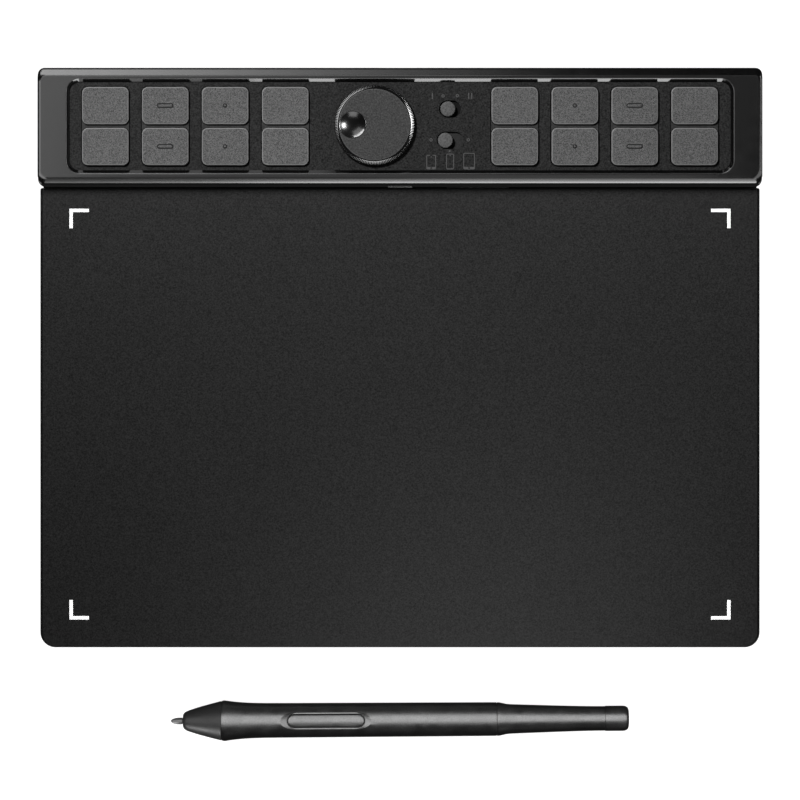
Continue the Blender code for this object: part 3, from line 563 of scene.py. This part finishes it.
# ------------------------------------------------------------------ keys
def key(name, cx, cy, mark):
    w, h, n = KEY_W / 2, KEY_H / 2, 9
    N = 4 * (n + 1)
    rr = lambda i: rrect(cx - w + i, cy - h + i, cx + w - i, cy + h - i, KEY_R - i, n)
    f = 0.35
    loops = [at_z(rrect(cx - w - f, cy - h, cx + w + f, cy + h, KEY_R, n), 8.05), at_z(rrect(cx - w - f, cy - h, cx + w + f, cy + h, KEY_R, n), 8.6), at_z(rr(0), 8.6), at_z(rr(0), PANEL_Z1 + 0.2), at_z(rr(0), KEY_TOP - 0.55)]
    mats = [3, 3, 3, 0]
    R = 0.42
    # the rounded top edge (index 1) is coloured lighter than the key top: a painted highlight
    for a in arc(0, 90, 5)[1:]:
        loops.append(at_z(rr(R * (1 - math.cos(a)) ), KEY_TOP - 0.12 - R + R * math.sin(a) + 0.0))
        mats.append(1)
    # the top is very slightly dished
    loops.append(at_z(rr(0.9), KEY_TOP - 0.10))
    loops.append(at_z(rr(2.1), KEY_TOP - 0.14))
    mats += [0, 0]
    if mark:
        if mark == "bar":
            shape = lambda k: stadium(cx - 2.78 + k, cx + 2.78 - k, cy, 0.55 - k, N // 2 - 1)
        else:
            shape = lambda k: circle(cx, cy, 0.46 - k, N, math.radians(-72))
        # a fine groove round a raised mark, its faces coloured dark as painted shade
        for k, z, m in ((-0.40, -0.14, 0), (-0.27, -0.30, 2), (-0.05, -0.30, 2), (0.0, -0.12, 2), (0.06, 0.04, 0), (0.16, 0.10, 0), (0.30, 0.13, 0)):
            loops.append(at_z(shape(k), KEY_TOP + z))
            mats.append(m)
    mats.append(0)
    o = obj_from(name, loft(bmesh.new(), loops, mats=mats), ("key", "key_rim_highlight", "key_mark_shade", "key_foot"))
    return o


for side, label in ((-1, "left"), (1, "right")):
    for i, c in enumerate(KEY_COLS, 1):
        for row, y in ROWS.items():
            node = f"key_{label}_{i}_{row}"
            piece(key(node + "_cap", side * c, y, {2: "dot", 3: "bar"}.get(i)), node, node, angle=50)

# ------------------------------------------------------------------ dial
DB = "dial"
DISH = 8.35
z_face = cad("dial_cap")[5]
bm = turned(bmesh.new(), [(0, 11.2), (12.6, 11.2), (13.6, 11.3), (13.72, z_face - 0.07), (13.69, z_face - 0.02), (13.63, z_face), (13.42, z_face), (9.0, z_face), (0, z_face)], 160, centre=(DX, DY, 0))
cap = obj_from("dial_cap_disc", bm, ("dial",))
cap.data.materials.append(MAT["dial_outer_highlight"])
# the cap's outer edge is coloured lighter than its face: a painted highlight
for f in cap.data.polygons:
    if math.hypot(f.center.x - DX * S, f.center.y - DY * S) > 13.45 * S:
        f.material_index = 1
carve(cap, [prism("cp", circle(DX - DISH, DY, 5.26, 96), 11.9, 16)])
piece(cap, DB, "dial_cap", angle=30)

TEETH = 150


def knurl(r, h, i):
    """Fine teeth on the outer wall that run out on the slope."""
    if r < 13.95 or h < 11.3:
        return r
    k = min(1.0, (r - 14.3) / 0.8) if r > 14.3 else 0.0
    return r - 0.36 * k * (0.0, 0.0, 0.0, 0.45, 1.0, 0.45)[i % 6]


z_rim = cad("dial_rim")[5]
R_OUT = 15.5
rim_profile = [(13.9, 11.0), (15.1, 11.0), (R_OUT - 0.1, 11.3), (R_OUT, 11.9), (R_OUT, z_rim - 1.50), (R_OUT - 0.05, z_rim - 1.32), (R_OUT - 0.13, z_rim - 1.20), (R_OUT - 0.20, z_rim - 1.12)]
rim_profile += [(R_OUT - 0.20 - 1.44 * k, z_rim - 1.12 + 1.09 * k) for k in (0.25, 0.5, 0.75, 1.0)]
rim_profile += [(13.80, z_rim - 0.02), (13.77, z_rim - 0.04), (13.75, z_rim - 0.1), (13.75, 12.0)]
rim = obj_from("dial_rim_ring", turned(bmesh.new(), rim_profile, TEETH * 6, closed=True, centre=(DX, DY, 0), radius=knurl), ("dial_metal",))
piece(rim, DB, "dial_rim", angle=50)

mouth, depth = 4.96, 1.78
ball = (mouth**2 + depth**2) / (2 * depth)
lip = z_face + 0.05
dish_profile = [(0, 11.95), (4.8, 11.95), (5.13, 12.2), (5.13, lip - 0.08), (5.11, lip - 0.02), (5.06, lip), (5.0, lip - 0.02)]
for i in range(1, 25):
    a = math.asin(mouth / ball) * (1 - i / 25)
    dish_profile.append((ball * math.sin(a), lip - 0.03 + ball - depth - ball * math.cos(a)))
dish_profile.append((0, lip - 0.03 - depth))
dish = obj_from("dial_finger_bowl", turned(bmesh.new(), dish_profile, 128, centre=(DX - DISH, DY, 0)), ("dish",))
piece(dish, DB, "dial_finger_dish", angle=40)
ring = obj_from("dial_bowl_ring", turned(bmesh.new(), [(5.14, 13.4), (5.25, 13.4), (5.25, z_face - 0.02), (5.22, z_face + 0.02), (5.17, z_face + 0.02), (5.14, z_face - 0.02)], 128, closed=True, centre=(DX - DISH, DY, 0)), ("dish_ring",))
piece(ring, DB, angle=40)


# ------------------------------------------------------------------ slide switches
def switch(name, x, y, node, half_l, plate):
    bm = bmesh.new()
    top = cad(node)[5]
    prof = [(0, 8.3), (2.88, 8.3), (2.88, top - 0.42)] + [(2.88 - 0.38 * (1 - math.cos(a)), top - 0.42 + 0.34 * math.sin(a)) for a in arc(0, 90, 5)[1:]] + [(1.4, top - 0.02), (0, top)]
    turned(bm, prof, 72, centre=(x, y, 0))
    k = obj_from(f"{name}_knob", bm, ("knob",))
    piece(k, node, node, angle=40)
    p = prism(f"{name}_slider_plate", rrect(x - half_l, y - 3.95, x + half_l, y + 3.95, 1.0, 6), 8.05, 8.6, (plate,))
    bevel(p, 0.08, 2)
    piece(p, node)


# the plate colours are painted shade in the slots: darker in the mode slot, lighter in the device slot
switch("mode", MODE[0], MODE[1], "mode_slider", 5.6, "slider")
switch("device", DEVICE[0], DEVICE[1], "device_slider", 7.4, "slider_shallow_shade")

# ------------------------------------------------------------------ pad and drawing sheet
PX0, PY0, PZ0, PX1, PY1, PZ1 = cad("pad_top_cover")
PZ0 = 4.3


def pad_rr(i, n=14):
    r = 5.8 - i
    return rrect(PX0 + i, PY0 + i, PX1 - i, PY1 - i, (r, 0.8, 0.8, r), n)


# a fine rim stands beside the film at each end, with a groove between them; the groove is coloured darker than the film
# as painted shade
loops = [at_z(pad_rr(1.8), PZ0), at_z(pad_rr(0.12), PZ0), at_z(pad_rr(0), PZ0 + 0.12), at_z(pad_rr(0), PZ1 - 0.25)]
for a in arc(0, 90, 5)[1:]:
    loops.append(at_z(pad_rr(0.22 * (1 - math.cos(a))), PZ1 - 0.25 + 0.22 * math.sin(a)))
loops += [at_z(pad_rr(0.32), PZ1 - 0.05), at_z(pad_rr(0.38), PZ1 - 0.45), at_z(pad_rr(3.0), PZ1 - 0.45)]
pad = obj_from("pad_cover_shell", loft(bmesh.new(), loops[1:], mats=[0] * (len(loops) - 4) + [1, 1]), ("pad", "film_groove_shade"))
piece(pad, "tablet", "pad_top_cover", angle=60)

X0, Y0, Z0, X1, Y1, Z1 = cad("drawing_sheet")


def sheet_rr(i, n=14):
    r = 5.25 - i
    return rrect(X0 + 0.65 + i, Y0 + i, X1 - 0.65 - i, Y1 - i, (r, 0.6, 0.6, r), n)


# the film's sides are coloured darker, as painted shade in the groove
sheet = obj_from("drawing_film", loft(bmesh.new(), [at_z(sheet_rr(0.05), PZ1 - 0.5), at_z(sheet_rr(0), Z0), at_z(sheet_rr(0), Z1 - 0.10), at_z(sheet_rr(0.04), Z1 - 0.03), at_z(sheet_rr(0.12), Z1)], mats=[1, 1, 1, 1, 0]), ("sheet", "film_groove_shade"))
piece(sheet, "tablet", "drawing_sheet", angle=40)

# the four corner marks, white ink
bm = bmesh.new()
mx, my_t, my_b = 127.0, py(208.7), py(619.5)
L, Wd = 7.5, 1.3
for sx in (-1, 1):
    for ye, sy in ((my_t, -1), (my_b, 1)):
        pts = [(sx * mx, ye), (sx * (mx - L), ye), (sx * (mx - L), ye + sy * Wd), (sx * (mx - Wd), ye + sy * Wd), (sx * (mx - Wd), ye + sy * L), (sx * mx, ye + sy * L)]
        loft(bm, [at_z(pts, Z1 - 0.02), at_z(pts, Z1 + 0.012)])
marks = obj_from("corner_marks", bm, ("white",))
piece(marks, "tablet", weighted=False)

# ------------------------------------------------------------------ pen
TILT = math.asin((7.8 - 6.45) / (125.0 - 20.4))
PEN = Matrix.Translation(Vector((-67.6, -121.46, 7.8 * math.cos(TILT) + 0.01)) * S) @ Matrix.Rotation(math.radians(0.31), 4, "Z") @ Matrix.Rotation(TILT, 4, "Y")
SEG = 112
al = lambda s: s - 20.4


def smooth_profile(points, steps=6):
    """Catmull-Rom through (s, r) points, so that the outline has no facets."""
    out = []
    for i in range(len(points) - 1):
        p0, p1, p2, p3 = points[max(i - 1, 0)], points[i], points[i + 1], points[min(i + 2, len(points) - 1)]
        for k in range(steps):
            t = k / steps
            s = p1[0] + (p2[0] - p1[0]) * t
            h = p2[0] - p1[0]
            m1 = (p2[1] - p0[1]) / max(p2[0] - p0[0], 1e-6) * h
            m2 = (p3[1] - p1[1]) / max(p3[0] - p1[0], 1e-6) * h
            r = (2 * t**3 - 3 * t**2 + 1) * p1[1] + (t**3 - 2 * t**2 + t) * m1 + (-2 * t**3 + 3 * t**2) * p2[1] + (t**3 - t**2) * m2
            out.append((s, r))
    return out + [points[-1]]


def pen_part(name, outer, inner, mat, closed=True, seg=SEG):
    """outer: (s, r) list along the outside, inner: the bore, back again."""
    prof = [(r, al(s)) for s, r in outer] + [(r, al(s)) for s, r in inner]
    return obj_from(name, turned(bmesh.new(), prof, seg, closed, "x"), (mat,) if isinstance(mat, str) else mat, PEN)


barrel_line = smooth_profile([(19.45, 7.55), (20.0, 7.72), (20.4, 7.80), (21.2, 7.74), (22.5, 7.55), (25.0, 7.25), (28.0, 6.99), (31.5, 6.80), (37.0, 6.69), (55.0, 6.62), (85.0, 6.56), (110.0, 6.50), (124.7, 6.46), (125.05, 6.42), (125.12, 6.36)])
barrel = pen_part("pen_barrel_tube", barrel_line, [(125.12, 4.7), (19.45, 4.7)], ("pen", "pen_edge"))
scoop = []
for half, wide, z in ((14.4, 3.15, 5.40), (15.2, 3.45, 5.68), (16.2, 3.62, 6.06), (17.3, 3.85, 6.50), (18.2, 4.05, 6.95)):
    scoop.append([(al(59.6) + x, y, z) for x, y in stadium(-half, half, 0, wide, 24)])
c1 = obj_from("c_scoop", loft(bmesh.new(), scoop), ("pen",), PEN)
slot_c = obj_from("c_slot", loft(bmesh.new(), [[(x, y, z) for x, y in stadium(al(59.55) - 15.02, al(59.55) + 15.02, 0, 2.76, 24)] for z in (2.0, 9.0)]), ("pen",), PEN)
carve(barrel, [c1, slot_c])
piece(barrel, "pen", "pen_barrel", angle=28, weighted=False)

nose_line = smooth_profile([(4.62, 2.05), (4.75, 2.45), (5.3, 3.2), (6.2, 3.75), (8.0, 4.42), (11.0, 5.35), (15.0, 6.45), (18.4, 7.33), (19.1, 7.50), (19.36, 7.46)])
nose = pen_part("pen_nose_cone", [(4.7, 1.62)] + nose_line, [(19.36, 4.2), (8.6, 3.4), (7.6, 1.62)], "nose")
piece(nose, "pen", "pen_nose", angle=35, weighted=False)

tail_line = smooth_profile([(125.2, 6.34), (125.32, 6.42), (126.2, 6.40), (127.4, 6.16), (129.0, 5.82), (130.5, 5.68), (134.0, 5.55), (142.0, 5.28), (150.0, 5.02), (158.0, 4.81), (164.0, 4.72), (166.3, 4.71), (166.73, 4.70)])
tail = pen_part("pen_tail_tube", tail_line, [(166.72, 3.5), (125.2, 3.5)], "pen")
piece(tail, "pen", "pen_tail", angle=35, weighted=False)

cap_line = smooth_profile([(166.77, 4.71), (166.95, 4.82), (167.4, 4.85), (170.0, 4.85), (173.6, 4.84), (174.6, 4.70), (175.3, 4.35), (175.75, 3.75), (175.95, 2.8), (176.0, 1.4)])
end_cap = pen_part("pen_tail_cap", [(161.0, 0), (161.0, 3.0), (166.77, 3.0)] + cap_line + [(176.0, 0)], [], "pen", closed=False)
piece(end_cap, "pen", "pen_end_cap", angle=40, weighted=False)

nib_line = smooth_profile([(0.02, 0.12), (0.15, 0.38), (0.6, 0.72), (1.5, 1.05), (2.6, 1.26), (3.6, 1.30), (4.4, 1.22), (4.9, 0.85)])
nib = pen_part("pen_nib_tip", [(0, 0)] + nib_line + [(26.0, 0.8), (26.0, 0)], [], "nib", closed=False, seg=64)
piece(nib, "pen_nib", "pen_nib", angle=50, weighted=False)

# side button: a long pill, its top round like the barrel
bm = bmesh.new()
b0, b1 = al(59.55) - 14.72, al(59.55) + 14.72
R = 2.5


def button_loop(k, z, crown):
    pts = stadium(b0 + k, b1 - k, 0, R - k, 20)
    return [(x, y, z + crown * (math.sqrt(max(0.0, 6.75**2 - y * y)) - 6.75)) for x, y in pts]


loops = [button_loop(-0.55, 1.7, 0), button_loop(-0.55, 2.2, 0), button_loop(0, 2.2, 0), button_loop(0, 5.85, 1)]
for a in arc(0, 90, 5)[1:]:
    loops.append(button_loop(0.40 * (1 - math.cos(a)), 5.85 + 0.62 * math.sin(a), 1))
loops += [button_loop(1.1, 6.50, 1), button_loop(1.9, 6.515, 1), button_loop(2.35, 6.52, 1)]
loft(bm, loops)
btn = obj_from("pen_rocker_button", bm, ("pen",), PEN)
piece(btn, "pen_button", "pen_side_button", angle=40)

# ------------------------------------------------------------------ CAD nodes that stay, with finished materials
paint("base_cover", "base", 0.15)
paint("usb_port_bezel", "base", 0.08)
paint("usb_c_socket", "steel", 0.04)
for n in ("pad_screw_1", "pad_screw_2", "pad_screw_3", "pad_screw_4", "head_screw_1", "head_screw_2", "encoder_shaft", "shield_plate", "mode_switch_body", "device_switch_body"):
    paint(n, "steel", 0.05)
for n in ("foot_rear_left", "foot_rear_right", "foot_front_left", "foot_front_right"):
    paint(n, "rubber")
for n in ("sensor_board", "control_board", "pen_board"):
    paint(n, "board")
paint("board_ribbon", "ribbon")
for n in ("controller_chip", "encoder_body"):
    paint(n, "chip", 0.05)
for n in ("key_mat_left", "key_mat_right"):
    paint(n, "silicone")
paint("pen_coil", "copper")

# ------------------------------------------------------------------ floor, world and lights
fl = bpy.data.meshes.new("floor")
fl.from_pydata([(-20, -20, -0.0002), (20, -20, -0.0002), (20, 20, -0.0002), (-20, 20, -0.0002)], [], [(0, 1, 2, 3)])
floor = bpy.data.objects.new("floor", fl)
bpy.context.scene.collection.objects.link(floor)
m, t, b = nodes_of("floor_white")
b.inputs["Base Color"].default_value = (0.3, 0.3, 0.3, 1)
b.inputs["Roughness"].default_value = 0.9
b.inputs["Specular IOR Level"].default_value = 0.0
b.inputs["Emission Color"].default_value = (1, 1, 1, 1)
b.inputs["Emission Strength"].default_value = 0.93
fl.materials.append(m)
floor.visible_glossy = False
floor.visible_diffuse = False

world = bpy.data.worlds.new("studio")
bpy.context.scene.world = world
world.use_nodes = True
wt = world.node_tree
bg = wt.nodes["Background"]
lp = wt.nodes.new("ShaderNodeLightPath")
mixr = wt.nodes.new("ShaderNodeMapRange")
mixr.inputs["To Min"].default_value = 0.02
mixr.inputs["To Max"].default_value = 1.0
wt.links.new(lp.outputs["Is Camera Ray"], mixr.inputs["Value"])
wt.links.new(mixr.outputs["Result"], bg.inputs["Strength"])
bg.inputs["Color"].default_value = (1, 1, 1, 1)


def group(name, objs):
    c = bpy.data.collections.new(name)
    for o in objs:
        c.objects.link(o)
    return c


every = [o for o in bpy.context.scene.objects if o.type == "MESH"]
pen_things = [o for o in every if o.name.startswith("pen_")]
PEN_ONLY = group("lit_pen", pen_things)
NOSE_ONLY = group("lit_nose", [o for o in pen_things if o.name.startswith(("pen_nose_cone", "pen_nib_tip"))])
DISH_ONLY = group("lit_dish", [dish])
MARKS = group("lit_marks", [marks])
SHEET = group("lit_sheet", [sheet])
RIM = group("lit_rim", [rim, ring])
HEAD = group("lit_head", [head])
apart = [rim, ring, dish] + pen_things
CONTROLS = group("lit_controls", [o for o in every if o.name.startswith(("key_", "panel_", "mode_", "device_", "dial_cap"))])
controls = list(CONTROLS.objects)
TABLET = group("lit_tablet", [o for o in every if o not in apart + [sheet]])
OUTSIDE = group("lit_outside", [o for o in every if o not in apart + [sheet] + controls])
NOT_PAD = group("lit_not_pad", [o for o in every if o not in apart + [pad, sheet] + controls])
PAD_ENDS = group("lit_pad_ends", [o for o in every if o not in apart + [head, sheet] + controls])
NOT_HEAD = group("lit_not_head", [o for o in every if o not in apart + [head, sheet]])


def softbox(name, centre, target, w, h, radiance, only):
    """An area light in mm that looks at target; radiance is what a mirror would show."""
    d = bpy.data.lights.new(name, "AREA")
    d.shape = "RECTANGLE"
    d.size, d.size_y = w * S, h * S
    d.energy = radiance * math.pi * w * h * S * S
    o = bpy.data.objects.new(name, d)
    bpy.context.scene.collection.objects.link(o)
    o.location = Vector(centre) * S
    o.rotation_euler = (Vector(target) - Vector(centre)).to_track_quat("-Z", "Y").to_euler()
    o.visible_camera = False
    o.light_linking.receiver_collection = only
    return o


HEAD_AT = (0, 105, 12)
# four rows of panels in front, one above the other, four times as bright to the right
for row, y, z, h, level in ((1, -1500, 285, 520, 10.5), (2, -1450, 740, 420, 6.0), (3, -1250, 1200, 620, 4.2), (4, -900, 1600, 620, 2.0)):
    softbox(f"front_{row}", (300, y, z), HEAD_AT, 840, h, level, NOT_PAD)
    softbox(f"front_{row}_left", (-320, y, z), HEAD_AT, 400, h, level * 0.22, NOT_PAD)
softbox("back_rail", (-520, 1200, 85), (-520, 105, 12), 960, 120, 1.5, HEAD)
for i, (x0, x1, level) in enumerate(((-1000, -180, 8.0), (-180, -130, 6.0), (-130, -70, 3.9), (-70, -10, 2.0), (-10, 60, 0.9)), 1):
    softbox(f"back_{i}", ((x0 + x1) / 2, 1200, 372), ((x0 + x1) / 2, 105, 12), x1 - x0, 270, level, OUTSIDE)
softbox("back_high_left", (-700, 1500, 2100), HEAD_AT, 1200, 300, 8.0, OUTSIDE)
softbox("back_high_right", (600, 1500, 2100), HEAD_AT, 1400, 300, 2.0, OUTSIDE)
softbox("controls_overhead", (-430, 590, 1200), HEAD_AT, 160, 160, 152.0, CONTROLS)
softbox("right", (1500, 419, 520), HEAD_AT, 1400, 260, 9.0, OUTSIDE)
softbox("controls_fill", (500, -1300, 900), HEAD_AT, 900, 600, 1.4, CONTROLS)
softbox("left", (-1500, 450, 280), HEAD_AT, 1300, 360, 8.0, PAD_ENDS)
softbox("ceiling_back", (0, 420, 2600), (0, 420, 0), 1500, 640, 0.42, PAD_ENDS)
softbox("ceiling_front", (330, -300, 2600), (330, -300, 0), 900, 800, 0.45, PAD_ENDS)
# what the glossy head mirrors from overhead: lighter to the left
for name, x0, y0, x1, y1, level in (
    ("head_left", -420, 20, -150, 420, 2.2), ("head_lip_left_1", -150, 60, 0, 124, 0.92), ("head_lip_left_2", -150, -20, 0, 60, 0.60),
    ("head_lip_left_3", -150, -100, 0, -20, 0.40), ("head_lip_left_4", -150, -200, 0, -100, 0.20), ("head_lip_right", 0, -200, 150, 124, 1.0), ("head_back_1", -150, 130, -90, 420, 1.9), ("head_back_2", -90, 130, -30, 420, 1.3),
    ("head_back_3", -30, 130, 40, 420, 0.7), ("head_right", 40, 130, 420, 420, 0.28), ("head_far_right", 210, -200, 1200, 124, 2.5), ("head_far_back", -420, 440, 60, 1000, 2.5),
    ("head_far_back_right", 60, 440, 420, 1000, 0.4), ("head_far_left", -1200, -200, -210, 260, 4.5)):
    softbox(name, ((x0 + x1) / 2, (y0 + y1) / 2, 500), ((x0 + x1) / 2, (y0 + y1) / 2, 0), x1 - x0, y1 - y0, level, HEAD)
# the soft pools of light on the drawing surface
for i, (x, y, level) in enumerate(((0, -150, 5.8), (60, -100, 5.2)), 1):
    softbox(f"pool_{i}", (x, y, SHEET_TOP + 160), (x, y, 0), 100, 100, level, SHEET)
softbox("sheet_back_1", (-130, 330, 240), (-65, 60, SHEET_TOP), 220, 140, 25.5, SHEET)
softbox("sheet_back_2", (130, 330, 240), (65, 60, SHEET_TOP), 220, 140, 20.5, SHEET)
softbox("marks_overhead", (0, 0, 1500), (0, 0, 0), 1200, 1200, 2.6, MARKS)
softbox("rim_right", (1490, 380, 450), (-10, 107, 13), 900, 420, 7.5, RIM)
softbox("rim_left", (-1240, 967, 430), (-10, 107, 13), 2400, 400, 1.8, RIM)
softbox("rim_front", (-20, -1400, 523), (-10, 107, 13), 1200, 400, 1.7, RIM)
softbox("dish_spot", (1074, 266, 875), (-18, 107, 14), 520, 520, 30.0, DISH_ONLY)
softbox("dish_front", (-84, -1160, 606), (-18, 107, 14), 1000, 1000, 2.1, DISH_ONLY)
softbox("dish_back_low", (-786, 1204, 423), (-18, 107, 14), 1500, 230, 14.0, DISH_ONLY)
softbox("dish_back_mid", (-684, 1058, 797), (-18, 107, 14), 1200, 1100, 1.6, DISH_ONLY)
softbox("pen_overhead", (0, 290, 2300), (0, 290, 7), 8000, 2440, 4.75, PEN_ONLY)
softbox("pen_front", (532, -1421, 380), (-40, -121, 7), 500, 260, 0.8, PEN_ONLY)
softbox("nose_front", (-700, -1450, 400), (-75, -121, 7), 700, 260, 62.0, NOSE_ONLY)
